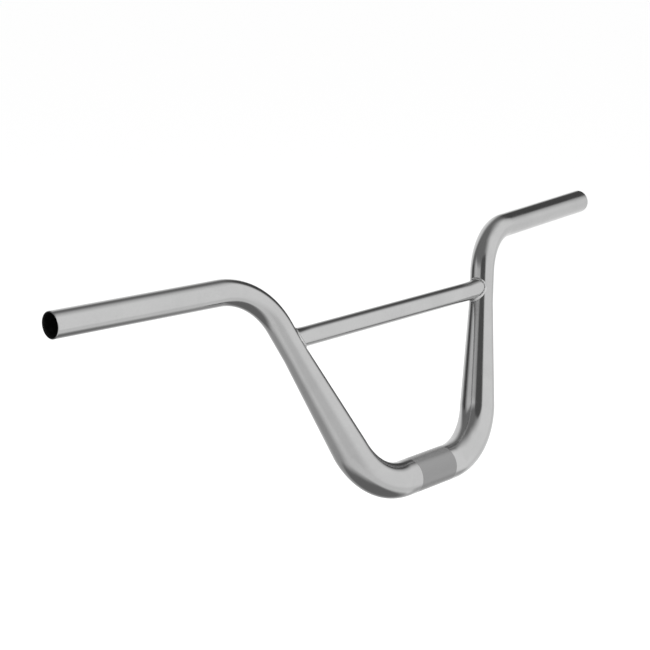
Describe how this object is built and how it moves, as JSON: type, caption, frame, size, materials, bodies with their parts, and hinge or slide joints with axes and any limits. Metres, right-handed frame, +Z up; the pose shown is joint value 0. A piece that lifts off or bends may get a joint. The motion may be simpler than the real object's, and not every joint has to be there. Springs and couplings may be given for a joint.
{
  "type": "high-rise bicycle handlebar with a crossbar",
  "caption": "High-rise bicycle handlebar: one bent, tapered tube with raised, swept-back grip ends, a straight centre for the stem clamp and a welded crossbar between its legs.",
  "frame": {"origin": "middle of the stem clamp zone, on the tube's axis", "axes": "+X along the clamp zone, towards the grip at the rider's right; +Y towards the rider; +Z up, with the legs leaned back towards the rider as the bar is ridden"},
  "size_m": [0.7376, 0.1097, 0.2122],
  "materials": {
    "tube": "satin polished, with a matt blasted band round the middle",
    "crossbar_tube": "satin polished",
    "weld": "bright rippled weld bead"
  },
  "bodies": {
    "root": {"main_tube": "tube", "crossbar": "crossbar_tube", "weld_left": "weld", "weld_right": "weld"}
  },
  "joints": []
}
